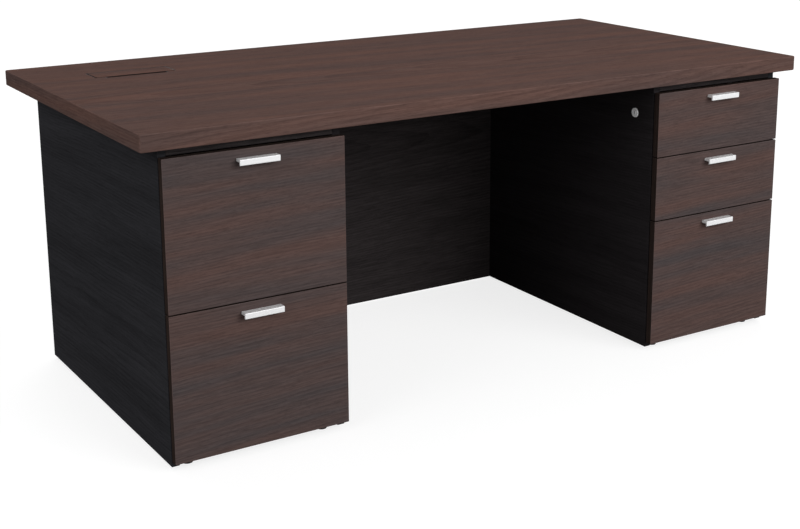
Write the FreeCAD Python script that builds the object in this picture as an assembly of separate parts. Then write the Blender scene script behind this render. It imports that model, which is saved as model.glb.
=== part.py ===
import FreeCAD, Part
import math
import os
from FreeCAD import Vector

# A double-pedestal office desk. The front faces -Y, +Z is up and lengths are in millimetres.
# The origin lies on the floor, under the middle of the box that holds the top and the pulls.

# Top board, a thick slab with softened edges
top_width = 1800.0
top_depth = 900.0
top_thickness = 37.0
desk_height = 730.0
top_corner_radius = 6.0
top_edge_radius = 2.5

# Pedestal carcasses of edged boards
pedestal_width = 412.0
side_overhang = 46.0
carcass_setback = 30.5
back_overhang = 98.0
cable_space = 150.5
panel_thickness = 18.0
panel_edge_radius = 1.0
panel_floor_gap = 8.0
base_rise = 13.0
cable_exit_radius = 30.0
cable_exit_rise = 60.0

# Modesty panel between the pedestals, with angle brackets behind it
modesty_recess = 54.0
bracket_leg = 36.0
bracket_width = 24.0
bracket_thickness = 2.5
bracket_height_shares = (0.12, 0.5, 0.88)

# Drawer fronts, as shares of the height between the top strip and the base
front_thickness = 18.0
front_gap = 4.0
front_spacing = 3.0
top_strip = 19.0
left_drawers = ("left_upper", "left_lower")
left_front_shares = (0.5, 0.5)
right_drawers = ("right_upper", "right_middle", "right_lower")
right_front_shares = (0.25, 0.25, 0.5)
buffer_radius = 4.0
buffer_inset = 14.0

# Drawer boxes, a folded wrap of two sides and a back round a grooved-in bottom
box_side_thickness = 12.0
box_low_rise = 30.0
box_top_drop = 25.0
box_edge_radius = 1.5
bottom_thickness = 6.0
bottom_rise = 10.0
bottom_groove = 6.0

# Pulls, one bent metal strip each: a plate on top and a lip in front
pull_length = 91.0
pull_reach = 18.0
pull_plate = 6.0
pull_lip_height = 13.0
pull_lip = 3.5
pull_drop = 18.0
pull_bend_radius = 1.5

# Ball-bearing slides with three nested channels
slide_thickness = 12.7
slide_height = 35.0
slide_rise = 24.0
slide_setback = 3.0
rail_sheet = 1.2
rail_running_gap = 0.4
middle_rail_offset = 3.2
middle_rail_inset = 10.0
rail_flange_short = 2.0
inner_rail_offset = 5.2

# Levelling feet and their threaded sockets
foot_radius = 12.0
foot_pad = 9.0
foot_edge_radius = 2.0
foot_stem_radius = 4.0
foot_stem_length = 26.0
foot_side_inset = 45.0
foot_end_inset = 26.0
socket_radius = 5.5
socket_flange_radius = 12.0
socket_flange = 2.0
socket_clearance = 0.1

# Cable opening: hinged lid, liner and the slot in front of the lid
lid_width = 198.0
lid_depth = 68.0
lid_thickness = 12.0
lid_back_setback = 159.0
lid_corner_radius = 8.0
lid_clearance = 1.0
lid_end_clearance = 2.0
lid_seat_gap = 0.3
liner_wall = 2.5
liner_drop = 0.8
ledge_depth = 8.0
ledge_thickness = 4.0
slot_width = 152.0
slot_depth = 14.0
hinge_pin_radius = 2.0
hinge_running_gap = 0.06

# Lock on the knee side of the right pedestal, with a bar that stops its three drawers
lock_setback = 66.5
lock_drop = 80.0
lock_face_radius = 12.0
lock_face = 3.0
lock_face_round = 1.6
lock_mouth = 1.4
lock_barrel_radius = 9.5
lock_core_radius = 6.2
lock_core_proud = 0.6
lock_core_gap = 0.05
lock_core_round = 0.5
keyway_width = 2.2
keyway_height = 8.5
keyway_depth = 6.0
lock_nut_sides = 6
lock_nut_across_flats = 24.0
lock_nut = 3.0
lock_layer_gap = 0.4
cam_sheet = 2.4
cam_hub_radius = 8.0
cam_pin_radius = 2.0
cam_crank = 8.0
cam_rest_angle = 45.0
bar_sheet = 2.4
bar_width = 20.0
bar_offset = 6.0
bar_end = 6.0
bar_slot_play = 0.4
bar_groove_play = 0.5
groove_depth = 9.0
groove_pocket_radius = 16.0
finger_reach = 7.5
finger_sheet = 2.5
finger_height = 8.0
finger_rail_gap = 5.5
catch_sheet = 2.0
catch_reach = 9.0
catch_height = 14.0
catch_base = 22.0
catch_clearance = 2.0
catch_play = 1.0
guide_sheet = 1.5
guide_height = 12.0
guide_overlap = 9.0
guide_gap = 4.0

# Length by which a cutting shape runs past the face that it cuts
overrun = 2.0

# Places across, from the left (-X) to the right (+X)
half_width = top_width / 2
outer_x = half_width - side_overhang
knee_x = outer_x - pedestal_width
pedestal_x = outer_x - pedestal_width / 2
inside_x = outer_x - panel_thickness
knee_inside_x = knee_x + panel_thickness
box_half = pedestal_width / 2 - panel_thickness - slide_thickness

# Places from the front (-Y) to the back (+Y), with the pulls in front of the top
front_setback = carcass_setback - front_gap - front_thickness
overall_depth = top_depth + pull_reach - front_setback
top_back_y = overall_depth / 2
top_front_y = top_back_y - top_depth
carcass_front_y = top_front_y + carcass_setback
carcass_back_y = top_back_y - back_overhang
back_panel_y = carcass_back_y - panel_thickness
front_back_y = carcass_front_y - front_gap
front_face_y = front_back_y - front_thickness
modesty_y = carcass_back_y - modesty_recess - panel_thickness
slide_front_y = carcass_front_y + slide_setback
box_back_y = back_panel_y - cable_space
slide_length = box_back_y - slide_front_y

# Heights
underside_z = desk_height - top_thickness
top_board_z = underside_z - panel_thickness
base_z = panel_floor_gap + base_rise
base_top_z = base_z + panel_thickness
fronts_high_z = underside_z - top_strip
fronts_low_z = base_z

# Cable lid
lid_x = -pedestal_x
lid_back_y = top_back_y - lid_back_setback
lid_front_y = lid_back_y - lid_depth
lid_low_z = desk_height - lid_thickness
hinge_radius = lid_thickness / 2
hinge_y = lid_back_y - hinge_radius
hinge_z = desk_height - hinge_radius

# Lock train, stacked from the knee face into the right pedestal
lock_y = carcass_front_y + lock_setback
lock_z = underside_z - lock_drop
groove_floor_x = knee_inside_x - groove_depth
nut_inner_x = groove_floor_x + lock_nut
cam_x = nut_inner_x + lock_layer_gap
bar_x = cam_x + cam_sheet + lock_layer_gap
bar_inner_x = bar_x + bar_sheet
bar_y = lock_y + bar_offset
finger_back_y = bar_y + bar_width / 2
finger_front_y = finger_back_y - finger_sheet
bar_travel = 2 * cam_crank * math.sin(math.radians(cam_rest_angle))
finger_rise = slide_rise + slide_height / 2 + finger_rail_gap


def box(x0, x1, y0, y1, z0, z1):
    """A plain block between two values on each axis, given in either order."""
    low = Vector(min(x0, x1), min(y0, y1), min(z0, z1))
    return Part.makeBox(abs(x1 - x0), abs(y1 - y0), abs(z1 - z0), low)


def board(x0, x1, y0, y1, z0, z1):
    """An edged board: a block with softened edges."""
    block = box(x0, x1, y0, y1, z0, z1)
    return block.makeFillet(panel_edge_radius, block.Edges)


def rod_x(radius, x0, x1, y, z):
    """A round bar along X."""
    return Part.makeCylinder(radius, x1 - x0, Vector(x0, y, z), Vector(1, 0, 0))


def rod_z(radius, x, y, z0, z1):
    """A round bar along Z."""
    return Part.makeCylinder(radius, z1 - z0, Vector(x, y, z0), Vector(0, 0, 1))


def strip(points, length):
    """A bar along X with the outline that the points give."""
    outline = Part.makePolygon(points + points[:1])
    return Part.Face(outline).extrude(Vector(length, 0, 0))


def upright_edges(shape):
    """Straight edges that run along Z."""
    return [edge for edge in shape.Edges if edge.BoundBox.ZLength > edge.BoundBox.DiagonalLength / 2]


def edges_at_height(shape, z):
    """Edges that lie in the level plane at z."""
    found = []
    for edge in shape.Edges:
        bounds = edge.BoundBox
        if abs(bounds.ZMin - z) < panel_edge_radius / 10 and abs(bounds.ZMax - z) < panel_edge_radius / 10:
            found.append(edge)
    return found


def save(name, *solids):
    """Writes one node: a single piece, or a group of like pieces."""
    shape = solids[0] if len(solids) == 1 else Part.makeCompound(list(solids))
    shape.exportStep("parts/" + name + ".step")


# Top and cable opening

def port_block(margin, z0, z1):
    """The stepped space of lid and cable slot, grown by a margin on every side."""
    lid_room = lid_clearance + margin
    half = lid_width / 2 + lid_end_clearance + margin
    lid_space = box(lid_x - half, lid_x + half, lid_front_y - lid_room, lid_back_y + lid_room, z0, z1)
    slot_half = slot_width / 2 + margin
    slot_front_y = lid_front_y - slot_depth - margin
    slot_space = box(lid_x - slot_half, lid_x + slot_half, slot_front_y, lid_front_y, z0, z1)
    return lid_space.fuse(slot_space).removeSplitter()


def desk_top():
    slab = box(-half_width, half_width, top_front_y, top_back_y, underside_z, desk_height)
    slab = slab.makeFillet(top_corner_radius, upright_edges(slab))
    rims = edges_at_height(slab, desk_height) + edges_at_height(slab, underside_z)
    slab = slab.makeFillet(top_edge_radius, rims)
    return slab.cut(port_block(liner_wall, underside_z - overrun, desk_height + overrun))


def port_liner():
    """A stepped sleeve in the top, with two ledges under the lid's front corners and holes for its pin."""
    top_z = desk_height - liner_drop
    sleeve = port_block(liner_wall, underside_z, top_z)
    sleeve = sleeve.cut(port_block(0, underside_z - overrun, top_z + overrun))
    wall_y = lid_front_y - lid_clearance - liner_wall / 2
    ledge_top_z = lid_low_z - lid_seat_gap
    for end in (-1, 1):
        wall_x = lid_x + end * (lid_width / 2 + lid_end_clearance + liner_wall / 2)
        ledge = box(lid_x + end * slot_width / 2 + end * liner_wall, wall_x, wall_y,
                    lid_front_y + ledge_depth, ledge_top_z - ledge_thickness, ledge_top_z)
        sleeve = sleeve.fuse(ledge)
    return sleeve.removeSplitter().cut(hinge_pin())


def hinge_pin():
    half = lid_width / 2 + lid_end_clearance + liner_wall
    return rod_x(hinge_pin_radius, lid_x - half, lid_x + half, hinge_y, hinge_z)


def cable_lid():
    """A lid with a round back edge, so that it turns on its pin without leaving the opening."""
    x0 = lid_x - lid_width / 2
    front_top = Vector(x0, lid_front_y, desk_height)
    back_top = Vector(x0, hinge_y, desk_height)
    nose = Vector(x0, lid_back_y, hinge_z)
    back_low = Vector(x0, hinge_y, lid_low_z)
    front_low = Vector(x0, lid_front_y, lid_low_z)
    outline = Part.Wire([Part.LineSegment(front_top, back_top).toShape(),
                         Part.Arc(back_top, nose, back_low).toShape(),
                         Part.LineSegment(back_low, front_low).toShape(),
                         Part.LineSegment(front_low, front_top).toShape()])
    lid = Part.Face(outline).extrude(Vector(lid_width, 0, 0))
    corners = [edge for edge in upright_edges(lid) if edge.BoundBox.YMax < hinge_y]
    lid = lid.makeFillet(lid_corner_radius, corners)
    bore_radius = hinge_pin_radius + hinge_running_gap
    bore = rod_x(bore_radius, x0 - overrun, x0 + lid_width + overrun, hinge_y, hinge_z)
    return lid.cut(bore)


# Carcasses

def outer_side(side):
    return board(side * outer_x, side * inside_x, carcass_front_y, carcass_back_y,
                 panel_floor_gap, underside_z)


def inner_side(side):
    return board(side * knee_x, side * knee_inside_x, carcass_front_y, carcass_back_y,
                 panel_floor_gap, underside_z)


def back_panel(side):
    return board(side * knee_inside_x, side * inside_x, back_panel_y, carcass_back_y,
                 panel_floor_gap, underside_z)


def top_board(side):
    return board(side * knee_inside_x, side * inside_x, carcass_front_y, back_panel_y,
                 top_board_z, underside_z)


def base_board(side):
    """The base, bored for the sockets of the feet."""
    base = board(side * knee_inside_x, side * inside_x, carcass_front_y, back_panel_y, base_z, base_top_z)
    for x, y in foot_places(side):
        base = base.cut(rod_z(socket_radius + socket_clearance, x, y, base_z - overrun, base_top_z + overrun))
    return base


def lock_side_panel():
    """The right pedestal's knee side, with the lock's bore and the groove that hides its bar."""
    panel = inner_side(1)
    low_z, high_z = bar_heights()
    half = bar_width / 2 + bar_groove_play
    groove = box(groove_floor_x, knee_inside_x + overrun, bar_y - half, bar_y + half,
                 low_z - bar_end, high_z + bar_travel + bar_end)
    pocket = rod_x(groove_pocket_radius, groove_floor_x, knee_inside_x + overrun, lock_y, lock_z)
    bore = rod_x(lock_barrel_radius, knee_x - overrun, knee_inside_x, lock_y, lock_z)
    return panel.cut(groove.fuse(pocket)).cut(bore)


def left_back_panel():
    """The back behind the cable space, with a round exit for cables above the base."""
    start = Vector(lid_x, back_panel_y - overrun, base_top_z + cable_exit_rise)
    hole = Part.makeCylinder(cable_exit_radius, panel_thickness + 2 * overrun, start, Vector(0, 1, 0))
    return back_panel(-1).cut(hole)


def left_top_board():
    return top_board(-1).cut(port_block(0, top_board_z - overrun, underside_z + overrun))


def modesty_panel():
    return board(-knee_x, knee_x, modesty_y, modesty_y + panel_thickness, panel_floor_gap, underside_z)


def modesty_brackets():
    """Angle brackets in the corners behind the modesty panel."""
    back_y = modesty_y + panel_thickness
    brackets = []
    for side in (-1, 1):
        for share in bracket_height_shares:
            middle_z = panel_floor_gap + share * (underside_z - panel_floor_gap)
            z0, z1 = middle_z - bracket_width / 2, middle_z + bracket_width / 2
            corner_x = side * knee_x
            on_panel = box(corner_x, corner_x - side * bracket_leg,
                           back_y, back_y + bracket_thickness, z0, z1)
            on_side = box(corner_x, corner_x - side * bracket_thickness,
                          back_y, back_y + bracket_leg, z0, z1)
            brackets.append(on_panel.fuse(on_side).removeSplitter())
    return brackets


# Feet

def foot_places(side):
    """Where the four feet of one pedestal stand."""
    columns = (side * (knee_x + foot_side_inset), side * (outer_x - foot_side_inset))
    rows = (carcass_front_y + foot_end_inset, back_panel_y - foot_end_inset)
    return [(x, y) for x in columns for y in rows]


def levelling_foot(x, y):
    pad = rod_z(foot_radius, x, y, 0, foot_pad)
    pad = pad.makeFillet(foot_edge_radius, edges_at_height(pad, foot_pad))
    return pad.fuse(rod_z(foot_stem_radius, x, y, foot_pad, foot_pad + foot_stem_length))


def foot_socket(x, y):
    """A flanged threaded socket in the base board."""
    flange = rod_z(socket_flange_radius, x, y, base_z - socket_flange, base_z)
    barrel = rod_z(socket_radius, x, y, base_z, base_top_z)
    bore = rod_z(foot_stem_radius + socket_clearance, x, y,
                 base_z - socket_flange - overrun, base_top_z + overrun)
    return flange.fuse(barrel).cut(bore)


# Drawers. Each front is known by its side (-1 or 1), its lower edge and its height.

def front_spans():
    """The side, lower edge and height of every drawer front, from the top down in each pedestal."""
    room = fronts_high_z - fronts_low_z + front_spacing
    pedestals = ((-1, left_drawers, left_front_shares), (1, right_drawers, right_front_shares))
    spans = {}
    for side, names, shares in pedestals:
        high_z = fronts_high_z
        for name, share in zip(names, shares):
            height = room * share - front_spacing
            spans[name] = (side, high_z - height, height)
            high_z = high_z - height - front_spacing
    return spans


def drawer_front(side, low_z, height):
    return board(side * knee_x, side * outer_x, front_face_y, front_back_y, low_z, low_z + height)


def drawer_box(side, low_z, height):
    """Two sides and a back folded from one board, grooved for the bottom."""
    middle = side * pedestal_x
    z0, z1 = low_z + box_low_rise, low_z + height - box_top_drop
    inside = box_half - box_side_thickness
    wrap = box(middle - box_half, middle + box_half, front_back_y, box_back_y, z0, z1)
    hollow = box(middle - inside, middle + inside, front_back_y - overrun, box_back_y - box_side_thickness,
                 z0 - overrun, z1 + overrun)
    wrap = wrap.cut(hollow)
    rims = [edge for edge in edges_at_height(wrap, z1) if edge.Length > 2 * box_side_thickness]
    wrap = wrap.makeFillet(box_edge_radius, rims)
    return wrap.cut(drawer_bottom(side, low_z))


def drawer_bottom(side, low_z):
    middle = side * pedestal_x
    half = box_half - box_side_thickness + bottom_groove
    z0 = low_z + box_low_rise + bottom_rise
    return box(middle - half, middle + half, front_back_y, box_back_y - box_side_thickness + bottom_groove,
               z0, z0 + bottom_thickness)


def drawer_pull(side, low_z, height):
    """A bent strip: the plate stands out from the front and the lip hangs from its edge."""
    x0 = side * pedestal_x - pull_length / 2
    high_z = low_z + height - pull_drop
    plate_z = high_z - pull_plate
    lip_y = front_face_y - pull_reach
    lip_back_y = lip_y + pull_lip
    lip_z = high_z - pull_lip_height
    lip_round = pull_lip / 2
    inner_bend = pull_bend_radius / 2

    def at(y, z):
        return Vector(x0, y, z)

    def bend(middle_y, middle_z, radius, toward_y, toward_z):
        """The middle of a quarter bend, on the side that the two signs give."""
        share = math.sqrt(0.5)
        return at(middle_y + toward_y * radius * share, middle_z + toward_z * radius * share)

    top_back, top_bend = at(front_face_y, high_z), at(lip_y + pull_bend_radius, high_z)
    face_bend, face_end = at(lip_y, high_z - pull_bend_radius), at(lip_y, lip_z + lip_round)
    back_end, back_bend = at(lip_back_y, lip_z + lip_round), at(lip_back_y, plate_z - inner_bend)
    under_bend, under_back = at(lip_back_y + inner_bend, plate_z), at(front_face_y, plate_z)
    outer_middle = bend(lip_y + pull_bend_radius, high_z - pull_bend_radius, pull_bend_radius, -1, 1)
    inner_middle = bend(lip_back_y + inner_bend, plate_z - inner_bend, inner_bend, -1, 1)
    outline = Part.Wire([Part.LineSegment(top_back, top_bend).toShape(),
                         Part.Arc(top_bend, outer_middle, face_bend).toShape(),
                         Part.LineSegment(face_bend, face_end).toShape(),
                         Part.Arc(face_end, at(lip_y + lip_round, lip_z), back_end).toShape(),
                         Part.LineSegment(back_end, back_bend).toShape(),
                         Part.Arc(back_bend, inner_middle, under_bend).toShape(),
                         Part.LineSegment(under_bend, under_back).toShape(),
                         Part.LineSegment(under_back, top_back).toShape()])
    return Part.Face(outline).extrude(Vector(pull_length, 0, 0))


def front_buffers(side, low_z, height):
    """Soft round pads on the panels' front edges, where the closed front comes to rest."""
    pads = []
    for x in (side * (knee_x + panel_thickness / 2), side * (outer_x - panel_thickness / 2)):
        for z in (low_z + buffer_inset, low_z + height - buffer_inset):
            seat = Vector(x, front_back_y, z)
            pads.append(Part.makeCylinder(buffer_radius, front_gap, seat, Vector(0, 1, 0)))
    return pads


def channel(web_x, toward, half_height, depth, y0, y1, z):
    """A sheet channel along Y: its web stands at web_x and its flanges run toward -1 or 1."""
    solid = box(web_x, web_x + toward * depth, y0, y1, z - half_height, z + half_height)
    hollow = box(web_x + toward * rail_sheet, web_x + toward * (depth + overrun), y0 - overrun, y1 + overrun,
                 z - half_height + rail_sheet, z + half_height - rail_sheet)
    return solid.cut(hollow)


def slide_places(side, low_z):
    """For the two slides of a drawer: the panel's face, the way to the drawer, and the height."""
    z = low_z + box_low_rise + slide_rise
    return [(side * knee_inside_x, side, z), (side * inside_x, -side, z)]


def outer_rails(side, low_z):
    depth = slide_thickness - rail_flange_short
    return [channel(x, toward, slide_height / 2, depth, slide_front_y, slide_front_y + slide_length, z)
            for x, toward, z in slide_places(side, low_z)]


def middle_rails(side, low_z):
    half_height = slide_height / 2 - rail_sheet - rail_running_gap
    depth = slide_thickness - rail_flange_short - middle_rail_offset - rail_running_gap
    y0 = slide_front_y + middle_rail_inset
    y1 = slide_front_y + slide_length - middle_rail_inset
    return [channel(x + toward * middle_rail_offset, toward, half_height, depth, y0, y1, z)
            for x, toward, z in slide_places(side, low_z)]


def inner_rails(side, low_z):
    half_height = slide_height / 2 - 2 * (rail_sheet + rail_running_gap)
    depth = slide_thickness - inner_rail_offset
    return [channel(x + toward * slide_thickness, -toward, half_height, depth, slide_front_y, box_back_y, z)
            for x, toward, z in slide_places(side, low_z)]


# Lock train of the right pedestal

def lock_housing():
    """Face flange and barrel, bored for the core, with a countersunk mouth round it."""
    face = rod_x(lock_face_radius, knee_x - lock_face, knee_x, lock_y, lock_z)
    rim = [edge for edge in face.Edges if edge.BoundBox.XMax < knee_x - lock_face / 2]
    face = face.makeFillet(lock_face_round, rim)
    barrel = rod_x(lock_barrel_radius, knee_x, nut_inner_x, lock_y, lock_z)
    bore = rod_x(lock_core_radius, knee_x - lock_face - overrun, nut_inner_x + overrun, lock_y, lock_z)
    mouth = Part.makeCone(lock_core_radius + lock_mouth, lock_core_radius, lock_mouth,
                          Vector(knee_x - lock_face, lock_y, lock_z), Vector(1, 0, 0))
    return face.fuse(barrel).cut(bore).cut(mouth)


def lock_core():
    """The turning plug, with an upright keyway."""
    face_x = knee_x - lock_face - lock_core_proud
    core = rod_x(lock_core_radius - lock_core_gap, face_x, cam_x, lock_y, lock_z)
    rim = [edge for edge in core.Edges if edge.BoundBox.XMax < knee_x - lock_face]
    core = core.makeFillet(lock_core_round, rim)
    keyway = box(face_x - overrun, face_x + keyway_depth,
                 lock_y - keyway_width / 2, lock_y + keyway_width / 2,
                 lock_z - keyway_height / 2, lock_z + keyway_height / 2)
    return core.cut(keyway)


def lock_nut_ring():
    """The hexagon nut that holds the housing in its pocket."""
    corner_radius = lock_nut_across_flats / 2 / math.cos(math.pi / lock_nut_sides)
    corners = []
    for step in range(lock_nut_sides):
        turn = 2 * math.pi * step / lock_nut_sides
        corners.append(Vector(groove_floor_x, lock_y + corner_radius * math.cos(turn),
                              lock_z + corner_radius * math.sin(turn)))
    bore = rod_x(lock_barrel_radius, groove_floor_x - overrun, nut_inner_x + overrun, lock_y, lock_z)
    return strip(corners, lock_nut).cut(bore)


def crank_pin_place():
    """Where the cam's pin stands at rest, below the level of the lock's middle."""
    turn = math.radians(-cam_rest_angle)
    return lock_y + cam_crank * math.cos(turn), lock_z + cam_crank * math.sin(turn)


def lock_cam():
    """A crank plate on the core's end, with a pin that lifts the bar."""
    pin_y, pin_z = crank_pin_place()
    hub = rod_x(cam_hub_radius, cam_x, cam_x + cam_sheet, lock_y, lock_z)
    end = rod_x(2 * cam_pin_radius, cam_x, cam_x + cam_sheet, pin_y, pin_z)
    pin = rod_x(cam_pin_radius, cam_x, bar_inner_x, pin_y, pin_z)
    return hub.fuse(end).fuse(pin).removeSplitter()


def locked_fronts():
    """Lower edges of the fronts that the lock holds, from the top down."""
    return [low_z for side, low_z, height in front_spans().values() if side > 0]


def bar_heights():
    """Ends of the lock bar at rest: below its lowest finger, and above the cam and the highest guide."""
    fronts = locked_fronts()
    low_z = finger_place(fronts[-1]) - bar_end
    high_z = max(lock_z + groove_pocket_radius, guide_place(fronts[0]) + guide_height + bar_end)
    return low_z, high_z


def finger_place(low_z):
    """Lower edge of a drawer's finger on the bar, just above that drawer's rails."""
    return low_z + box_low_rise + finger_rise


def guide_place(low_z):
    """Lower edge of a drawer's bar guide, clear of the raised finger below it."""
    return finger_place(low_z) + finger_height + bar_travel + guide_gap


def lock_bar():
    """A flat bar with a level slot for the cam's pin and one finger per drawer at its back edge."""
    low_z, high_z = bar_heights()
    bar = box(bar_x, bar_inner_x, bar_y - bar_width / 2, bar_y + bar_width / 2, low_z, high_z)
    pin_y, pin_z = crank_pin_place()
    reach = cam_pin_radius + bar_slot_play
    slot = box(bar_x - overrun, bar_inner_x + overrun, pin_y - reach, lock_y + cam_crank + reach,
               pin_z - reach, pin_z + reach)
    bar = bar.cut(slot)
    for front_z in locked_fronts():
        z = finger_place(front_z)
        finger = box(bar_x, bar_inner_x + finger_reach, finger_front_y, finger_back_y, z, z + finger_height)
        bar = bar.fuse(finger)
    return bar.removeSplitter()


def bar_guides():
    """Flat keepers across the groove, above each finger's travel."""
    half = bar_width / 2 + bar_groove_play + guide_overlap
    guides = []
    for front_z in locked_fronts():
        z = guide_place(front_z)
        guides.append(box(knee_inside_x, knee_inside_x + guide_sheet, bar_y - half, bar_y + half,
                          z, z + guide_height))
    return guides


def lock_catch(low_z):
    """An angle on the drawer's side, behind the finger's path."""
    z0 = finger_place(low_z) + finger_height + catch_clearance
    z1 = z0 + catch_height
    face_x = knee_inside_x + slide_thickness
    y0 = finger_back_y + catch_play
    flange = box(face_x - catch_reach, face_x, y0, y0 + catch_sheet, z0, z1)
    base = box(face_x - catch_sheet, face_x, y0, y0 + catch_base, z0, z1)
    return flange.fuse(base).removeSplitter()


os.makedirs("parts", exist_ok=True)

save("desk_top", desk_top())
save("cable_port_liner", port_liner())
save("cable_lid", cable_lid())
save("cable_lid_hinge_pin", hinge_pin())
save("left_outer_side", outer_side(-1))
save("left_inner_side", inner_side(-1))
save("left_back_panel", left_back_panel())
save("left_top_board", left_top_board())
save("left_base_board", base_board(-1))
save("right_outer_side", outer_side(1))
save("right_inner_side", lock_side_panel())
save("right_back_panel", back_panel(1))
save("right_top_board", top_board(1))
save("right_base_board", base_board(1))
save("modesty_panel", modesty_panel())
save("modesty_brackets", *modesty_brackets())

feet = foot_places(-1) + foot_places(1)
save("levelling_feet", *[levelling_foot(x, y) for x, y in feet])
save("foot_sockets", *[foot_socket(x, y) for x, y in feet])

save("lock_housing", lock_housing())
save("lock_nut", lock_nut_ring())
save("lock_core", lock_core())
save("lock_cam", lock_cam())
save("lock_bar", lock_bar())
save("lock_bar_guides", *bar_guides())

fixed_rails = {-1: [], 1: []}
buffers = []
for name, (side, low_z, height) in front_spans().items():
    save(name + "_drawer_front", drawer_front(side, low_z, height))
    save(name + "_drawer_box", drawer_box(side, low_z, height))
    save(name + "_drawer_bottom", drawer_bottom(side, low_z))
    save(name + "_drawer_pull", drawer_pull(side, low_z, height))
    save(name + "_inner_rails", *inner_rails(side, low_z))
    save(name + "_middle_rails", *middle_rails(side, low_z))
    fixed_rails[side] += outer_rails(side, low_z)
    buffers += front_buffers(side, low_z, height)
    if side > 0:
        save(name + "_lock_catch", lock_catch(low_z))
save("left_outer_rails", *fixed_rails[-1])
save("right_outer_rails", *fixed_rails[1])
save("drawer_buffers", *buffers)
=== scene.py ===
import math

import bmesh
import bpy
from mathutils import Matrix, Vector


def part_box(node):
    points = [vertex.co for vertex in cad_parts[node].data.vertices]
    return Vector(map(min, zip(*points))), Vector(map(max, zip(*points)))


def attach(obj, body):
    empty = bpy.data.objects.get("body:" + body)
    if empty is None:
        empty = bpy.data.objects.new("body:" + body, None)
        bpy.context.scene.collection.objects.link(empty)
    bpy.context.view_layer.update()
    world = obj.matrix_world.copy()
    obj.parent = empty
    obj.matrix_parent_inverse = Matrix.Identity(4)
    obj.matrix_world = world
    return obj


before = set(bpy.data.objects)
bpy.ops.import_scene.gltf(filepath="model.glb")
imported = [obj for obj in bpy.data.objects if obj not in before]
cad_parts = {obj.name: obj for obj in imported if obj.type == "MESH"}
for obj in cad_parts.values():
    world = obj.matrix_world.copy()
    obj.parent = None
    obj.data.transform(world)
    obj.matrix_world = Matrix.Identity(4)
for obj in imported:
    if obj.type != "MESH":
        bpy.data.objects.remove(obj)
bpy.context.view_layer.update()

# Pedestal boards: 18 mm chipboard in charcoal wood-grain foil, doweled into two open-fronted boxes.
# The modesty panel joins the boxes. The grain lies level on every upright board, so it follows the depth
# on the sides and the width elsewhere. The inner sides round the knee space carry painted shade: a darker,
# warmer copy of the foil.


def add_node(tree, kind, values=(), **settings):
    """Adds a node to a tree, with its settings and then the values of its inputs."""
    made = tree.nodes.new(kind)
    for name, value in settings.items():
        setattr(made, name, value)
    for name, value in dict(values).items():
        made.inputs[name].default_value = value
    return made


def new_finish(name, **values):
    """A material with its tree and shader. The values are set on the shader's own sockets."""
    finish = bpy.data.materials.new(name)
    finish.use_nodes = True
    shader = finish.node_tree.nodes["Principled BSDF"]
    for socket, value in values.items():
        shader.inputs[socket.replace("_", " ")].default_value = value
    return finish, finish.node_tree, shader


def give_finish(finish, names):
    """Puts a finish on pieces of the frame."""
    for name in names:
        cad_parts[name].material_slots[0].material = finish


def object_place(tree):
    """Places on the desk, in metres from its origin."""
    return add_node(tree, "ShaderNodeTexCoord").outputs["Object"]


def noise(tree, place, per_metre, detail, roughness=0.5, output="Fac"):
    """Soft random values from 0 to 1, with about that many swells per metre along each axis."""
    scaled = add_node(tree, "ShaderNodeVectorMath", {1: per_metre}, operation="MULTIPLY")
    tree.links.new(place, scaled.inputs[0])
    made = add_node(tree, "ShaderNodeTexNoise", {"Scale": 1.0, "Detail": detail, "Roughness": roughness})
    tree.links.new(scaled.outputs[0], made.inputs["Vector"])
    return made.outputs[output]


def ranged(tree, value, given, wanted):
    """A value moved from one range to another, and held inside it."""
    ends = {1: given[0], 2: given[1], 3: wanted[0], 4: wanted[1]}
    made = add_node(tree, "ShaderNodeMapRange", ends)
    tree.links.new(value, made.inputs[0])
    return made.outputs[0]


def combined(tree, operation, first, *others):
    """One value out of several: their product with MULTIPLY, the largest of them with MAXIMUM."""
    for other in others:
        made = add_node(tree, "ShaderNodeMath", operation=operation)
        tree.links.new(first, made.inputs[0])
        tree.links.new(other, made.inputs[1])
        first = made.outputs[0]
    return first


def ramp(tree, value, tones):
    """Colours along a value, given as pairs of place and colour."""
    made = add_node(tree, "ShaderNodeValToRGB")
    while len(made.color_ramp.elements) < len(tones):
        made.color_ramp.elements.new(0.5)
    for element, (at, colour) in zip(made.color_ramp.elements, tones):
        element.position = at
        element.color = (*colour, 1.0)
    tree.links.new(value, made.inputs[0])
    return made.outputs[0]


def shaded(tree, colour, factor):
    """A colour made lighter or darker by a factor."""
    made = add_node(tree, "ShaderNodeVectorMath", operation="SCALE")
    tree.links.new(colour, made.inputs[0])
    tree.links.new(factor, made.inputs["Scale"])
    return made.outputs[0]


def dress(tree, shader, colour, roughness, relief, relief_depth, relief_strength):
    """Puts a colour, a roughness and small relief on a finish's shader."""
    bump = add_node(tree, "ShaderNodeBump", {"Distance": relief_depth, "Strength": relief_strength})
    tree.links.new(relief, bump.inputs["Height"])
    tree.links.new(colour, shader.inputs["Base Color"])
    tree.links.new(roughness, shader.inputs["Roughness"])
    tree.links.new(bump.outputs[0], shader.inputs["Normal"])


def rings_apart(gap):
    """The scale of a wave texture whose rings lie that far apart."""
    radians_per_unit = 20
    return math.tau / radians_per_unit / gap


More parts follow.
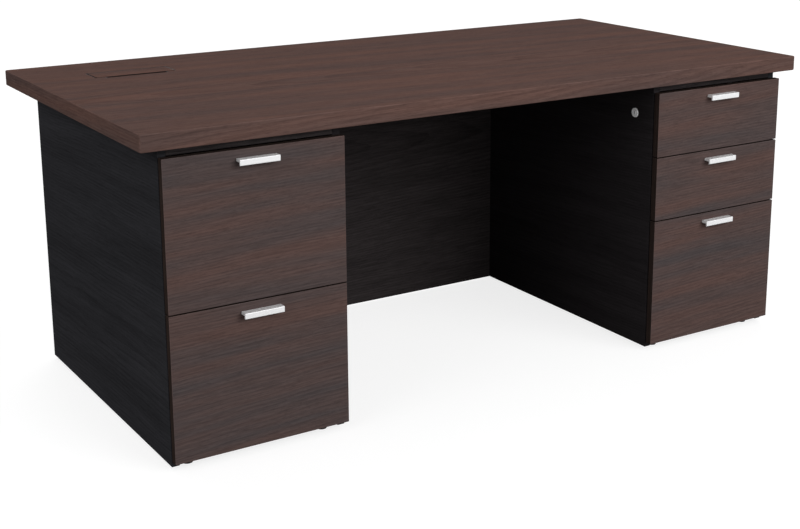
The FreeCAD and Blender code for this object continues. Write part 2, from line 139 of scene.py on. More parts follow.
def sliced_grain(tree, place, pith, turn, ring_gap, stack=1.0):
    """The figure of sliced wood: broad bands, growth lines, streaks and fine pores, each from 0 to 1.
    Grain runs along X, turned by the angles, and the growth rings lie round an axis through the pith.
    Boards that stand apart are cut from one log as if stacked that many times closer."""
    sway = 0.028
    cut = {"Location": pith, "Rotation": turn, "Scale": (1.0, stack, 1.0)}
    board = add_node(tree, "ShaderNodeMapping", cut, vector_type="TEXTURE")
    tree.links.new(place, board.inputs[0])
    wander = noise(tree, board.outputs[0], per_metre=(1.4, 5.0, 5.0), detail=3.0, roughness=0.55,
                   output="Color")
    centred = add_node(tree, "ShaderNodeVectorMath", {1: (0.5, 0.5, 0.5)}, operation="SUBTRACT")
    tree.links.new(wander, centred.inputs[0])
    wavy = add_node(tree, "ShaderNodeVectorMath", {1: (0.0, sway, sway)}, operation="MULTIPLY_ADD")
    tree.links.new(centred.outputs[0], wavy.inputs[0])
    tree.links.new(board.outputs[0], wavy.inputs[2])
    grain = wavy.outputs[0]
    rings = add_node(tree, "ShaderNodeTexWave", {"Scale": rings_apart(ring_gap), "Distortion": 0.0},
                     wave_type="RINGS", rings_direction="X", wave_profile="SAW")
    tree.links.new(grain, rings.inputs["Vector"])
    bands = noise(tree, grain, per_metre=(1.3, 22.0, 22.0), detail=2.0)
    streaks = noise(tree, grain, per_metre=(10.0, 300.0, 300.0), detail=3.0, roughness=0.6)
    pores = noise(tree, grain, per_metre=(45.0, 1500.0, 1500.0), detail=1.0)
    return bands, rings.outputs["Fac"], streaks, pores


def charcoal_board(name, tones, pith, turn, stack, figure):
    """Charcoal foil with a quiet wood grain pressed into it. The figure sets the contrast of the grain."""
    ring_gap = 0.007
    line_shade, pore_shade = (1.0, 1.0 - 0.14 * figure), (1.0 - 0.2 * figure, 1.02)
    streak_shade = (1.0 - 0.16 * figure, 1.0 + 0.06 * figure)
    finish, tree, shader = new_finish(name, Specular_IOR_Level=0.0)
    bands, lines, streaks, pores = sliced_grain(tree, object_place(tree), pith, turn, ring_gap, stack)
    tone = ramp(tree, bands, ((0.3, tones[0]), (0.7, tones[1])))
    depth = combined(tree, "MULTIPLY",
                     ranged(tree, lines, (0.45, 1.0), line_shade),
                     ranged(tree, streaks, (0.35, 0.65), streak_shade),
                     ranged(tree, pores, (0.3, 0.46), pore_shade))
    satin = ranged(tree, streaks, (0.3, 0.7), (0.5, 0.4))
    colour = shaded(tree, tone, depth)
    dress(tree, shader, colour, satin, streaks, relief_depth=0.0002, relief_strength=0.25)
    return finish


side_tones = ((0.0245, 0.0245, 0.027), (0.033, 0.033, 0.0368))
# Painted shade: the inner sides round the knee space take a darker, warmer copy of the side foil, for the
# shade and warm bounced light there.
knee_shade_tones = ((0.0205, 0.018, 0.0192), (0.0275, 0.0243, 0.026))
cross_tones = ((0.0355, 0.0305, 0.0308), (0.0475, 0.0405, 0.0412))
side_turn = (0.0, math.radians(2.0), math.radians(90.0))
cross_turn = (0.0, math.radians(-1.5), math.radians(2.0))
side_cut = {"pith": (0.0, 0.0, 0.22), "turn": side_turn, "stack": 7.0, "figure": 1.0}
cross_cut = {"pith": (0.1, 0.42, 0.46), "turn": cross_turn, "stack": 1.0, "figure": 1.6}
side_board = charcoal_board("charcoal_side_board", side_tones, **side_cut)
knee_shaded_board = charcoal_board("charcoal_knee_board", knee_shade_tones, **side_cut)
cross_board = charcoal_board("charcoal_cross_board", cross_tones, **cross_cut)
give_finish(side_board, ["left_outer_side", "right_outer_side"])
give_finish(knee_shaded_board, ["left_inner_side", "right_inner_side"])
give_finish(cross_board, [side + "_" + board for side in ("left", "right")
                          for board in ("back_panel", "top_board", "base_board")])
give_finish(cross_board, ["modesty_panel"])

# Fixings of the modesty panel: pressed angles of zinc-plated steel, with a cross-head screw in each leg.
# They sit in the corners behind the panel, where only a person behind the desk sees them.


def zinc_steel(name):
    """Zinc-plated sheet: a cool grey metal with a faint cloudy spangle and rolling lines along Y."""
    finish, tree, shader = new_finish(name, Metallic=1.0)
    place = object_place(tree)
    spangle = noise(tree, place, per_metre=(60.0, 60.0, 60.0), detail=2.0)
    rolled = noise(tree, place, per_metre=(900.0, 5.0, 900.0), detail=2.0)
    tone = ramp(tree, spangle, ((0.35, (0.47, 0.48, 0.5)), (0.65, (0.6, 0.61, 0.62))))
    colour = shaded(tree, tone, ranged(tree, rolled, (0.3, 0.7), (0.9, 1.05)))
    satin = ranged(tree, spangle, (0.3, 0.7), (0.36, 0.26))
    dress(tree, shader, colour, satin, rolled, relief_depth=0.00005, relief_strength=0.15)
    return finish


def fixing_tree(name, *sizes):
    """A tree that takes points, some sizes and a finish, and gives a mesh. Returns it with its inputs."""
    tree = bpy.data.node_groups.new(name, "GeometryNodeTree")
    tree.interface.new_socket("Geometry", in_out="INPUT", socket_type="NodeSocketGeometry")
    for size in sizes:
        tree.interface.new_socket(size, in_out="INPUT", socket_type="NodeSocketFloat")
    tree.interface.new_socket("Finish", in_out="INPUT", socket_type="NodeSocketMaterial")
    tree.interface.new_socket("Geometry", in_out="OUTPUT", socket_type="NodeSocketGeometry")
    return tree, add_node(tree, "NodeGroupInput").outputs


def times(tree, value, factor):
    """A value times a fixed factor."""
    made = add_node(tree, "ShaderNodeMath", {1: factor}, operation="MULTIPLY")
    tree.links.new(value, made.inputs[0])
    return made.outputs[0]


def outward_turn(tree):
    """The turn that lays Z along a point's outward direction."""
    outward = add_node(tree, "GeometryNodeInputNamedAttribute", {"Name": "outward"},
                       data_type="FLOAT_VECTOR")
    facing = add_node(tree, "FunctionNodeAlignRotationToVector", axis="Z")
    tree.links.new(outward.outputs["Attribute"], facing.inputs["Vector"])
    return facing.outputs[0]


def set_on_points(tree, given, shape, turn):
    """Ends a tree: the shape stands on every point, becomes real mesh and takes the finish."""
    link = tree.links.new
    set_in = add_node(tree, "GeometryNodeInstanceOnPoints")
    link(given["Geometry"], set_in.inputs["Points"])
    link(shape, set_in.inputs["Instance"])
    link(turn, set_in.inputs["Rotation"])
    real = add_node(tree, "GeometryNodeRealizeInstances")
    link(set_in.outputs[0], real.inputs[0])
    finished = add_node(tree, "GeometryNodeSetMaterial")
    link(real.outputs[0], finished.inputs[0])
    link(given["Finish"], finished.inputs["Material"])
    link(finished.outputs[0], add_node(tree, "NodeGroupOutput").inputs[0])


def screw_tree():
    """Cross-head screws on points, each facing outward and driven to a turn of its own."""
    crown_share, quarter_turn = 0.7, math.pi / 2
    above_and_below = 2.0
    tree, given = fixing_tree("cross_head_screws", "Head Radius", "Head Height", "Cross Length",
                              "Cross Width", "Cross Depth")
    link = tree.links.new
    head = add_node(tree, "GeometryNodeMeshCone", {"Vertices": 20, "Side Segments": 1})
    link(times(tree, given["Head Radius"], crown_share), head.inputs["Radius Top"])
    link(given["Head Radius"], head.inputs["Radius Bottom"])
    link(given["Head Height"], head.inputs["Depth"])
    arm_size = add_node(tree, "ShaderNodeCombineXYZ")
    link(given["Cross Length"], arm_size.inputs[0])
    link(given["Cross Width"], arm_size.inputs[1])
    link(times(tree, given["Cross Depth"], above_and_below), arm_size.inputs[2])
    arm = add_node(tree, "GeometryNodeMeshCube")
    link(arm_size.outputs[0], arm.inputs["Size"])
    top = add_node(tree, "ShaderNodeCombineXYZ")
    link(given["Head Height"], top.inputs[2])
    recess = add_node(tree, "GeometryNodeMeshBoolean", operation="DIFFERENCE", solver="MANIFOLD")
    link(head.outputs["Mesh"], recess.inputs[0])
    for turn in (0.0, quarter_turn):
        turned = add_node(tree, "GeometryNodeTransform", {"Rotation": (0.0, 0.0, turn)})
        link(arm.outputs["Mesh"], turned.inputs[0])
        link(top.outputs[0], turned.inputs["Translation"])
        link(turned.outputs[0], recess.inputs[1])
    turns = {0: (0.0, 0.0, 0.0), 1: (0.0, 0.0, quarter_turn), "Seed": 7}
    any_turn = add_node(tree, "FunctionNodeRandomValue", turns, data_type="FLOAT_VECTOR")
    driven = add_node(tree, "FunctionNodeRotateRotation", rotation_space="LOCAL")
    link(outward_turn(tree), driven.inputs[0])
    link(any_turn.outputs[0], driven.inputs[1])
    set_on_points(tree, given, recess.outputs[0], driven.outputs[0])
    return tree


def in_scene(name, data):
    """A new object in the scene that holds some data."""
    made = bpy.data.objects.new(name, data)
    bpy.context.scene.collection.objects.link(made)
    return made


cross_head_screws = screw_tree()
plated = zinc_steel("zinc_plated_steel")


def steel_fixings(name, body, tree, places, **sizes):
    """Plated fixings that ride on a body, grown by a tree as one plain mesh.
    Each place is a point and its outward direction. The sizes go to the tree's inputs of those names."""
    seed = bpy.data.meshes.new(name + "_places")
    seed.from_pydata([point for point, outward in places], [], [])
    facing = seed.attributes.new("outward", "FLOAT_VECTOR", "POINT")
    for item, (point, outward) in zip(facing.data, places):
        item.vector = outward
    piece = in_scene(name, seed)
    modifier = piece.modifiers.new("grown", "NODES")
    modifier.node_group = tree
    values = {"finish": plated, **sizes}
    for socket in tree.interface.items_tree:
        key = socket.name.replace(" ", "_").lower()
        if socket.in_out == "INPUT" and key in values:
            modifier[socket.identifier] = values[key]
    ready = piece.evaluated_get(bpy.context.evaluated_depsgraph_get())
    mesh = bpy.data.meshes.new_from_object(ready)
    piece.modifiers.clear()
    piece.data = mesh
    bpy.data.meshes.remove(seed)
    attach(piece, body)


def fit_screws(name, body, places, radius, height):
    """Screws of one size on one body. The cross keeps the same shares of every head."""
    length_share, width_share, depth_share = 1.25, 0.3, 0.6
    steel_fixings(name, body, cross_head_screws, places, head_radius=radius, head_height=height,
                  cross_length=length_share * radius, cross_width=width_share * radius,
                  cross_depth=depth_share * height)


give_finish(plated, ["modesty_brackets"])
panel_low, panel_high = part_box("modesty_panel")
bracket_low, bracket_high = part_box("modesty_brackets")
bracket_sheet = 0.0025
bracket_screw_place = 0.022
bracket_shares = (0.12, 0.5, 0.88)
board_screw = {"radius": 0.0042, "height": 0.0022}
places = []
for side, end_x in ((1, bracket_low.x), (-1, bracket_high.x)):
    for share in bracket_shares:
        z = panel_low.z + share * (panel_high.z - panel_low.z)
        on_panel = (end_x + side * bracket_screw_place, panel_high.y + bracket_sheet, z)
        on_pedestal = (end_x + side * bracket_sheet, panel_high.y + bracket_screw_place, z)
        places.append((on_panel, (0.0, 1.0, 0.0)))
        places.append((on_pedestal, (side, 0.0, 0.0)))
fit_screws("modesty_bracket_screws", "desk", places, **board_screw)

# Levelling feet: black moulded pads on threaded stems, in flanged sockets pressed into the bases.
# A hexagon nut under each socket holds the foot at its height.


def moulded_plastic(name, tone):
    """Black moulded plastic with a fine spark-eroded texture."""
    finish, tree, shader = new_finish(name, Specular_IOR_Level=0.1)
    place = object_place(tree)
    dark_share, light_share = 0.8, 1.2
    fine = noise(tree, place, per_metre=(1800.0, 1800.0, 1800.0), detail=1.0)
    cloud = noise(tree, place, per_metre=(25.0, 25.0, 25.0), detail=2.0)
    dark = tuple(dark_share * part for part in tone)
    light = tuple(light_share * part for part in tone)
    colour = ramp(tree, cloud, ((0.3, dark), (0.7, light)))
    matt = ranged(tree, fine, (0.3, 0.7), (0.62, 0.48))
    dress(tree, shader, colour, matt, fine, relief_depth=0.0001, relief_strength=0.3)
    return finish


def hexagon_nut_tree():
    """Hexagon nuts on points, with rounded corners and a bore along the point's outward direction."""
    round_share, bore_length = 1.07, 0.05
    tree, given = fixing_tree("hexagon_nuts", "Corner Radius", "Bore Radius", "Nut Height")
    link = tree.links.new
    body = add_node(tree, "GeometryNodeMeshCylinder", {"Vertices": 6})
    link(given["Corner Radius"], body.inputs["Radius"])
    link(given["Nut Height"], body.inputs["Depth"])
    chamfer = add_node(tree, "GeometryNodeMeshUVSphere", {"Segments": 24, "Rings": 12})
    link(times(tree, given["Corner Radius"], round_share), chamfer.inputs["Radius"])
    rounded = add_node(tree, "GeometryNodeMeshBoolean", operation="INTERSECT")
    link(body.outputs["Mesh"], rounded.inputs[1])
    link(chamfer.outputs["Mesh"], rounded.inputs[1])
    bore = add_node(tree, "GeometryNodeMeshCylinder", {"Vertices": 20, "Depth": bore_length})
    link(given["Bore Radius"], bore.inputs["Radius"])
    bored = add_node(tree, "GeometryNodeMeshBoolean", operation="DIFFERENCE")
    link(rounded.outputs[0], bored.inputs[0])
    link(bore.outputs["Mesh"], bored.inputs[1])
    set_on_points(tree, given, bored.outputs[0], outward_turn(tree))
    return tree


def pedestal_sides(side):
    """The low and high corners of a pedestal's two side boards, the board at the lower X first."""
    boards = (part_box(side + "_inner_side"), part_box(side + "_outer_side"))
    return sorted(boards, key=lambda ends: ends[0].x)


black_moulding = moulded_plastic("black_moulding", (0.016, 0.016, 0.016))
give_finish(black_moulding, ["levelling_feet"])
give_finish(plated, ["foot_sockets"])
foot_from_side, foot_from_end = 0.045, 0.026
nut_middle_z = 0.0155
places = []
for side in ("left", "right"):
    base_low, base_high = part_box(side + "_base_board")
    (low, _), (_, high) = pedestal_sides(side)
    for x in (low.x + foot_from_side, high.x - foot_from_side):
        for y in (base_low.y + foot_from_end, base_high.y - foot_from_end):
            places.append(((x, y, nut_middle_z), (0.0, 0.0, 1.0)))
steel_fixings("foot_lock_nuts", "desk", hexagon_nut_tree(), places,
              corner_radius=0.0075, bore_radius=0.0042, nut_height=0.005)

# Drawer slides: three nested channels rolled from zinc-plated sheet, screwed to the panels and the boxes.
# A black lever in each inner channel lets the drawer be lifted out.
drawers = ("left_upper", "left_lower", "right_upper", "right_middle", "right_lower")
give_finish(plated, ["left_outer_rails", "right_outer_rails"])
give_finish(plated, [d + part for d in drawers for part in ("_inner_rails", "_middle_rails")])
rail_sheet = 0.0012
inner_rail_depth = 0.0075
rail_screw_shares = (0.07, 0.5, 0.93)
rail_screw = {"radius": 0.0038, "height": 0.0012}
panel_rail_screw = {"radius": 0.0038, "height": 0.0011}
lever_length, lever_height, lever_thickness = 0.085, 0.009, 0.0022
lever_share, lever_gap = 0.6, 0.0002
lever_outline = ((0.0, -0.3), (0.06, -0.5), (0.7, -0.42), (0.78, -0.1), (0.9, -0.1), (0.94, -0.5),
                 (1.0, -0.5), (1.0, 0.2), (0.8, 0.28), (0.3, 0.12), (0.16, 0.5), (0.04, 0.5), (0.0, 0.3))


def add_prism(mesh, near, far):
    """Adds the solid between two equal outlines, given as rings of points."""
    near = [mesh.verts.new(point) for point in near]
    far = [mesh.verts.new(point) for point in far]
    mesh.faces.new(near)
    mesh.faces.new(reversed(far))
    for i in range(len(near)):
        j = (i + 1) % len(near)
        mesh.faces.new((near[j], near[i], far[i], far[j]))


def fit_piece(name, mesh, finish, body, arris=0.0):
    """Makes a built mesh a piece that rides on a body. Its arrises come off where a size is given."""
    bmesh.ops.recalc_face_normals(mesh, faces=mesh.faces)
    if arris:
        bmesh.ops.bevel(mesh, geom=mesh.edges, offset=arris, segments=1, affect="EDGES")
    data = bpy.data.meshes.new(name)
    mesh.to_mesh(data)
    mesh.free()
    data.materials.append(finish)
    piece = in_scene(name, data)
    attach(piece, body)


def release_levers(name, body, places):
    """Levers with a thumb tab at one end and a hook at the other, in the hollows of inner channels."""
    mesh = bmesh.new()
    for (x, y, z), side in places:
        near, far = ([(x + side * depth, y + along * lever_length, z + up * lever_height)
                      for along, up in lever_outline] for depth in (0.0, lever_thickness))
        add_prism(mesh, near, far)
    fit_piece(name, mesh, black_moulding, body)


panel_screws = []
for d in drawers:
    low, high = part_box(d + "_inner_rails")
    middle_z = (low.z + high.z) / 2
    web = inner_rail_depth - rail_sheet
    webs = ((low.x + web, -1.0), (high.x - web, 1.0))
    runs = [low.y + share * (high.y - low.y) for share in rail_screw_shares]
    box_screws = [((x, y, middle_z), (side, 0.0, 0.0)) for x, side in webs for y in runs]
    fit_screws(d + "_rail_screws", d + "_drawer", box_screws, **rail_screw)
    lever_y = low.y + lever_share * (high.y - low.y)
    levers = [((x + side * lever_gap, lever_y, middle_z), side) for x, side in webs]
    release_levers(d + "_slide_levers", d + "_drawer", levers)
    (_, left_face), (right_face, _) = pedestal_sides(d.split("_")[0])
    for y in runs:
        panel_screws.append(((left_face.x + rail_sheet, y, middle_z), (1.0, 0.0, 0.0)))
        panel_screws.append(((right_face.x - rail_sheet, y, middle_z), (-1.0, 0.0, 0.0)))
fit_screws("panel_rail_screws", "desk", panel_screws, **panel_rail_screw)

# Drawer boxes: wrapped board folded into two sides and a back, with a thin bottom in a groove.
# A pale grey foil with a fine thread-like fleck covers them, and steel angles join them to the fronts.


def lining_foil(name):
    """Pale grey foil with a woven fleck."""
    finish, tree, shader = new_finish(name, Specular_IOR_Level=0.25)
    place = object_place(tree)
    along, across = 110.0, 1300.0
    weave = ((along, across, across), (across, along, across), (across, across, along))
    threads = [noise(tree, place, per_metre, detail=1.0) for per_metre in weave]
    cloth = combined(tree, "MULTIPLY", *threads)
    colour = ramp(tree, cloth, ((0.05, (0.315, 0.31, 0.3)), (0.22, (0.4, 0.395, 0.385))))
    matt = ranged(tree, threads[0], (0.3, 0.7), (0.62, 0.5))
    dress(tree, shader, colour, matt, cloth, relief_depth=0.0001, relief_strength=0.2)
    return finish


grey_foil = lining_foil("grey_lining_foil")
give_finish(grey_foil, [d + part for d in drawers for part in ("_drawer_box", "_drawer_bottom")])
box_side = 0.012
angle_leg, angle_width, angle_plate, angle_arris = 0.03, 0.03, 0.0015, 0.0003
angle_outline = ((0.0, 0.0), (angle_leg, 0.0), (angle_leg, angle_plate), (angle_plate * 2, angle_plate),
                 (angle_plate, angle_plate * 2), (angle_plate, angle_leg), (0.0, angle_leg))
shallow_box, shallow_rise, deep_rise = 0.12, 0.03, 0.04
angle_screw_place = 0.018
angle_screw = {"radius": 0.0038, "height": 0.0018}


def folded_angles(name, body, places):
    """Angles folded from sheet. Each place is a corner at mid height and the way of a leg along X."""
    mesh = bmesh.new()
    for (x, y, z), side in places:
        near, far = ([(x + side * across, y + along, z + level * angle_width / 2)
                      for across, along in angle_outline] for level in (-1, 1))
        add_prism(mesh, near, far)
    fit_piece(name, mesh, plated, body, angle_arris)


for d in drawers:
    low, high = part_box(d + "_drawer_box")
    floor_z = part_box(d + "_drawer_bottom")[1].z
    levels = (floor_z + deep_rise, high.z - deep_rise)
    if high.z - floor_z < shallow_box:
        levels = (floor_z + shallow_rise,)
    walls = ((low.x + box_side, 1.0), (high.x - box_side, -1.0))
    corners = [((x, low.y, z), side) for x, side in walls for z in levels]
    folded_angles(d + "_front_angles", d + "_drawer", corners)
    places = []
    for (x, y, z), side in corners:
        places.append(((x + side * angle_screw_place, y + angle_plate, z), (0.0, 1.0, 0.0)))
        places.append(((x + side * angle_plate, y + angle_screw_place, z), (side, 0.0, 0.0)))
    fit_screws(d + "_front_angle_screws", d + "_drawer", places, **angle_screw)

# Drawer fronts: 18 mm board faced with a dark reddish-brown wood grain that lies level.
# The rims are edged in a darker band. Each front is screwed to its box through the angles inside.


def brown_wood(name, tones, pith, end_place, end_turn, figure, arris, broad=None, rim=None):
    """Dark wood grain along X. On sides that look along X it is moved and turned to follow the edge band.
    The figure sets its contrast, and the arris sets a painted highlight along rounded edges, where they
    catch light.
    A rim colour, if given, covers all but the two faces that look along the broad direction."""
    grain_turn, ring_gap = (0.0, math.radians(-1.6), math.radians(-1.8)), 0.0065
    line_shade, pore_shade = (1.0, 1.0 - 0.21 * figure), (0.74, 1.03)
    streak_shade = (1.0 - 0.23 * figure, 1.0 + 0.06 * figure)
    end_limit = 0.6
    # These are the places of a mix node's sockets, first for vectors and then for colours.
    first_vector, second_vector, vector_out = 4, 5, 1
    first_colour, second_colour, colour_out = 6, 7, 2
    finish, tree, shader = new_finish(name, Specular_IOR_Level=0.0)
    seen = add_node(tree, "ShaderNodeTexCoord")
    facing = add_node(tree, "ShaderNodeVectorMath", operation="ABSOLUTE")
    tree.links.new(seen.outputs["Normal"], facing.inputs[0])
    turned = add_node(tree, "ShaderNodeSeparateXYZ")
    tree.links.new(facing.outputs[0], turned.inputs[0])
    on_end = add_node(tree, "ShaderNodeMath", {1: end_limit}, operation="GREATER_THAN")
    tree.links.new(turned.outputs[0], on_end.inputs[0])
    band = add_node(tree, "ShaderNodeMapping", {"Location": end_place, "Rotation": end_turn})
    tree.links.new(seen.outputs["Object"], band.inputs[0])
    place = add_node(tree, "ShaderNodeMix", data_type="VECTOR")
    tree.links.new(on_end.outputs[0], place.inputs["Factor"])
    tree.links.new(seen.outputs["Object"], place.inputs[first_vector])
    tree.links.new(band.outputs[0], place.inputs[second_vector])
    bands, lines, streaks, pores = sliced_grain(tree, place.outputs[vector_out], pith, grain_turn, ring_gap)
    tone = ramp(tree, bands, tuple(zip((0.32, 0.5, 0.68), tones)))
    if rim:
        shown = add_node(tree, "ShaderNodeVectorMath", {1: broad}, operation="DOT_PRODUCT")
        tree.links.new(facing.outputs[0], shown.inputs[0])
        edged = add_node(tree, "ShaderNodeMix", data_type="RGBA")
        edged.inputs[first_colour].default_value = (*rim, 1.0)
        share = ranged(tree, shown.outputs["Value"], (0.45, 0.55), (0.0, 1.0))
        tree.links.new(share, edged.inputs["Factor"])
        tree.links.new(tone, edged.inputs[second_colour])
        tone = edged.outputs[colour_out]
    # Painted highlight: rounded edges, where no part of the normal is near 1, are lightened by the arris
    # factor.
    painted_highlight_facing = combined(tree, "MAXIMUM", *turned.outputs)
    depth = combined(tree, "MULTIPLY",
                     ranged(tree, lines, (0.4, 1.0), line_shade),
                     ranged(tree, streaks, (0.36, 0.62), streak_shade),
                     ranged(tree, painted_highlight_facing, (0.9, 0.97), (arris, 1.0)),
                     ranged(tree, pores, (0.3, 0.46), pore_shade))
    satin = ranged(tree, streaks, (0.3, 0.7), (0.56, 0.44))
    colour = shaded(tree, tone, depth)
    dress(tree, shader, colour, satin, streaks, relief_depth=0.0002, relief_strength=0.3)
    return finish


front_tones = ((0.0722, 0.0592, 0.0592), (0.0878, 0.0622, 0.0584), (0.1035, 0.0648, 0.0574))
# The fronts' arris of 1.5 lightens their rounded edges as a painted highlight.
front_wood = brown_wood("brown_wood_front", front_tones, pith=(0.2, -0.2, -0.12),
                        end_place=(0.0, 0.0, 0.0), end_turn=(0.0, math.radians(90.0), 0.0),
                        figure=0.75, arris=1.5, broad=(0.0, 1.0, 0.0), rim=(0.031, 0.0215, 0.0185))
give_finish(front_wood, [d + "_drawer_front" for d in drawers])

# Pulls: strips bent from bright aluminium, brushed along their length and anodised.
# Two screws from inside the front hold each plate.


def satin_aluminium(name):
    """Bright aluminium with fine lines brushed along X, under a milky anodised skin."""
    finish, tree, shader = new_finish(name, Metallic=0.3)
    brushed = noise(tree, object_place(tree), per_metre=(12.0, 2600.0, 2600.0), detail=2.0)
    colour = ramp(tree, brushed, ((0.3, (0.67, 0.67, 0.68)), (0.7, (0.75, 0.75, 0.755))))
    satin = ranged(tree, brushed, (0.3, 0.7), (0.5, 0.4))
    dress(tree, shader, colour, satin, brushed, relief_depth=0.00004, relief_strength=0.15)
    return finish


pull_aluminium = satin_aluminium("satin_aluminium")
give_finish(pull_aluminium, [d + "_drawer_pull" for d in drawers])

# Lock of the right pedestal: a satin chrome housing and core, held by a nut. Two black flaps, shaped as
# dust flaps, sit just inside the keyhole as painted shade: dark plates in place of the shade deep in the
# slot. Its crank lifts a zinc-plated bar in the panel's groove, and fingers on the bar stop the drawers'
# catches.


def turned_chrome(name, centre):
    """Satin chrome turned on a lathe: faint rings round the lock's own axis."""
    ring_gap = 0.0006
    finish, tree, shader = new_finish(name, Metallic=0.1)
    axis = add_node(tree, "ShaderNodeMapping", {"Location": centre}, vector_type="TEXTURE")
    tree.links.new(object_place(tree), axis.inputs[0])
    waves = {"Scale": rings_apart(ring_gap), "Distortion": 1.5, "Detail": 2.0}
    turned = add_node(tree, "ShaderNodeTexWave", waves, wave_type="RINGS", rings_direction="X")
    tree.links.new(axis.outputs[0], turned.inputs["Vector"])
    rings = turned.outputs["Fac"]
    colour = ramp(tree, rings, ((0.0, (0.9, 0.9, 0.905)), (1.0, (0.96, 0.96, 0.965))))
    satin = ranged(tree, rings, (0.0, 1.0), (0.46, 0.38))
    dress(tree, shader, colour, satin, rings, relief_depth=0.00003, relief_strength=0.1)
    return finish


lock_low, lock_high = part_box("lock_housing")
lock_centre = (lock_low + lock_high) / 2
give_finish(turned_chrome("turned_chrome", lock_centre), ["lock_housing", "lock_core"])
# Painted shade: black flaps just inside the keyhole darken it as the shade deep in the slot would.
flap_from_face, flap_sheet, flap_slit, flap_corner = 0.0009, 0.0008, 0.0004, 0.0006
flap_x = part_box("lock_core")[0].x + flap_from_face
key_width, key_height = 0.00215, 0.0084
mesh = bmesh.new()
for side in (-1.0, 1.0):
    slit, wall, top = side * flap_slit / 2, side * key_width / 2, key_height / 2
    cut_wall, cut_top = wall - side * flap_corner, top - flap_corner
    outline = ((slit, -top), (cut_wall, -top), (wall, -cut_top),
               (wall, cut_top), (cut_wall, top), (slit, top))
    near, far = ([(flap_x + depth, lock_centre.y + across, lock_centre.z + up) for across, up in outline]
                 for depth in (0.0, flap_sheet))
    add_prism(mesh, near, far)
fit_piece("keyhole_flaps", mesh, black_moulding, "lock")
give_finish(plated, ["lock_nut", "lock_cam", "lock_bar", "lock_bar_guides"])
locked = [d for d in drawers if d.startswith("right")]
give_finish(plated, [d + "_lock_catch" for d in locked])
guide_low, guide_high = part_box("lock_bar_guides")
guide_above_catch, guide_screw_inset = 0.0193, 0.005
guide_screw = {"radius": 0.0033, "height": 0.0012}
catch_sheet, catch_screw_places = 0.002, (0.009, 0.017)
catch_screw = {"radius": 0.003, "height": 0.0012}
guide_screws = []
for d in locked:
    low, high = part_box(d + "_lock_catch")
    for y in (guide_low.y + guide_screw_inset, guide_high.y - guide_screw_inset):
        guide_screws.append(((guide_high.x, y, low.z + guide_above_catch), (1.0, 0.0, 0.0)))
    places = [((high.x - catch_sheet, low.y + along, (low.z + high.z) / 2), (-1.0, 0.0, 0.0))
              for along in catch_screw_places]
    fit_screws(d + "_catch_screws", d + "_drawer", places, **catch_screw)
fit_screws("bar_guide_screws", "desk", guide_screws, **guide_screw)

# Top: a 37 mm slab faced and edged in the same brown wood, with softened corners and a hinged cable lid.
# Screws from inside the pedestals hold it down. The grain runs along the desk, and on its ends along the
# depth. A moulded liner frames the cable opening, and moulded buffers meet the drawer fronts.
slab_tones = ((0.095, 0.063, 0.0573), (0.11, 0.0672, 0.0583), (0.125, 0.0712, 0.0592))
slab_cut = {"pith": (0.2, -0.08, 0.56), "end_place": (0.0, 0.85, 0.0),
            "end_turn": (0.0, 0.0, math.radians(90.0)), "figure": 0.8}
# The slab's arris of 1.15 lightens its rounded edges as a painted highlight.
slab_wood = brown_wood("brown_wood_slab", slab_tones, arris=1.15, **slab_cut)
# The lid's dark rim colour is painted shade in the slot round the lid.
lid_wood_gap_shaded = brown_wood("brown_wood_lid", slab_tones, arris=1.0, broad=(0.0, 0.0, 1.0),
                      rim=(0.03, 0.02, 0.018), **slab_cut)
give_finish(slab_wood, ["desk_top"])
give_finish(lid_wood_gap_shaded, ["cable_lid"])
give_finish(black_moulding, ["cable_port_liner", "drawer_buffers"])
give_finish(plated, ["cable_lid_hinge_pin"])
top_screw_inset, top_screw_rows = 0.05, (0.08, 0.4)
places = []
for side in ("left", "right"):
    low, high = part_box(side + "_top_board")
    for x in (low.x + top_screw_inset, high.x - top_screw_inset):
        for row in top_screw_rows:
            places.append(((x, low.y + row, low.z), (0.0, 0.0, -1.0)))
fit_screws("top_fixing_screws", "desk", places, **board_screw)

# Cable exit: a moulded bush that lines the round hole in the left pedestal's back.
# Its flange covers the cut edge on the outside.
hole_low, hole_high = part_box("left_back_panel")
exit_above_base = 0.06
exit_x = (hole_low.x + hole_high.x) / 2
exit_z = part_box("left_base_board")[1].z + exit_above_base
bore, tube, rim = 0.0266, 0.0296, 0.0352
tube_length, flange = 0.019, 0.0019
bore_round, rim_round = 0.0006, 0.0007
bush_profile = ((tube, -tube_length), (bore + bore_round, -tube_length), (bore, bore_round - tube_length),
                (bore, flange - rim_round), (bore + bore_round, flange), (rim - rim_round, flange),
                (rim, flange - rim_round), (rim, 0.0), (tube, 0.0))
steps = 64
mesh = bmesh.new()
rings = []
for step in range(steps):
    across, up = math.cos(math.tau * step / steps), math.sin(math.tau * step / steps)
    rings.append([mesh.verts.new((exit_x + radius * across, hole_high.y + along, exit_z + radius * up))
                  for radius, along in bush_profile])
for step in range(steps):
    here, there = rings[step], rings[(step + 1) % steps]
    for i in range(len(bush_profile)):
        j = (i + 1) % len(bush_profile)
        mesh.faces.new((here[i], here[j], there[j], there[i])).smooth = True
fit_piece("cable_exit_bush", mesh, black_moulding, "desk")

# Floor and backdrop: a plain white studio sweep under and round the desk, matt and without a seam.
# The camera sees the floor near white and keeps the desk's shadow on it.


def seen_rays(tree, unseen, seen):
    """One strength for rays from the camera, direct or by gloss or glass, and another for the rest."""
    rays = add_node(tree, "ShaderNodeLightPath").outputs
    shown = combined(tree, "MAXIMUM", rays["Is Camera Ray"], rays["Is Glossy Ray"],
                     rays["Is Transmission Ray"])
    return ranged(tree, shown, (0.0, 1.0), (unseen, seen))


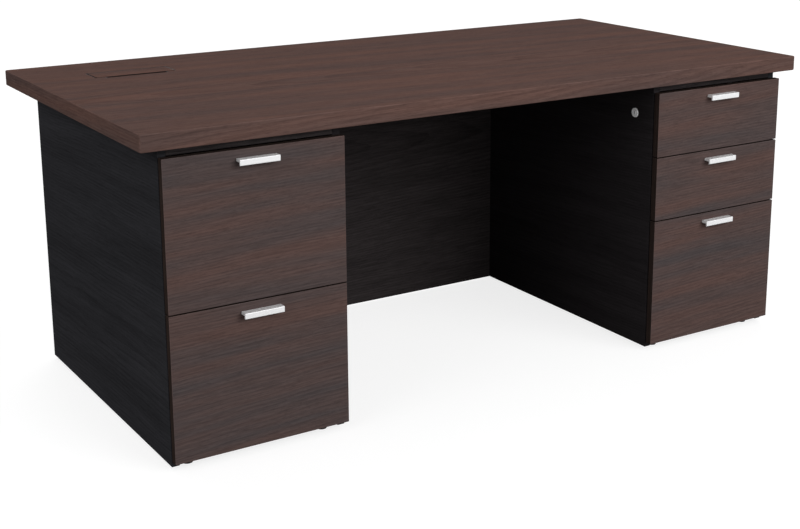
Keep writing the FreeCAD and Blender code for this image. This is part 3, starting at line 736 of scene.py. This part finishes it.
white = (1.0, 1.0, 1.0, 1.0)
floor_half = 60.0
data = bpy.data.meshes.new("floor")
data.from_pydata([(x * floor_half, y * floor_half, 0.0) for x, y in ((-1, -1), (1, -1), (1, 1), (-1, 1))],
                 [], [(0, 1, 2, 3)])
floor = in_scene("floor", data)
pale, tree, shader = new_finish("pale_floor", Roughness=1.0, Specular_IOR_Level=0.0,
                                Base_Color=(0.3, 0.3, 0.3, 1.0), Emission_Color=white)
tree.links.new(seen_rays(tree, unseen=0.0, seen=0.8), shader.inputs["Emission Strength"])
data.materials.append(pale)

world = bpy.data.worlds.new("studio")
bpy.context.scene.world = world
world.use_nodes = True
tree = world.node_tree
sky = tree.nodes["Background"]
tree.links.new(seen_rays(tree, unseen=0.3, seen=1.0), sky.inputs["Strength"])
sky.inputs["Color"].default_value = white

# Lamps: soft light from the front, the left and behind, and a softbox in front of the right pedestal.
# Each of the first three has a strength, and a spread, a height and a turn in degrees.
suns = (("front_light", 1.36, 45.0, 22.0, 24.0),
        ("left_light", 1.15, 50.0, 24.0, -80.0),
        ("back_light", 1.4, 60.0, 45.0, 160.0))
for name, strength, spread, height, turn in suns:
    light = bpy.data.lights.new(name, "SUN")
    light.energy = strength
    light.angle = math.radians(spread)
    lamp = in_scene(name, light)
    lamp.rotation_euler = (math.radians(90.0 - height), 0.0, math.radians(turn))
softbox_aim = Vector((0.0, -0.2, 0.4))
light = bpy.data.lights.new("softbox", "AREA")
light.shape = "RECTANGLE"
light.size, light.size_y = 2.4, 1.4
light.energy = 32.0
lamp = in_scene("softbox", light)
lamp.location = (0.8, -3.0, 1.8)
lamp.rotation_euler = (softbox_aim - lamp.location).to_track_quat("-Z", "Y").to_euler()
bpy.context.scene.view_settings.view_transform = "Standard"

# Camera: to the left of the desk's front and above the top, tipped down towards the desk.
# The lens is shifted a little downwards, so that the uprights lean less.
tip_down, turn_right = 13.6038, 32.8806
view = bpy.data.cameras.new("camera")
view.sensor_width = 36.0
view.lens = 62.953
view.shift_x = -0.05
view.shift_y = -0.12
camera = in_scene("camera", view)
camera.location = (-1.8474, -2.9839, 1.3042)
camera.rotation_euler = (math.radians(90.0 - tip_down), 0.0, math.radians(-turn_right))
bpy.context.scene.camera = camera
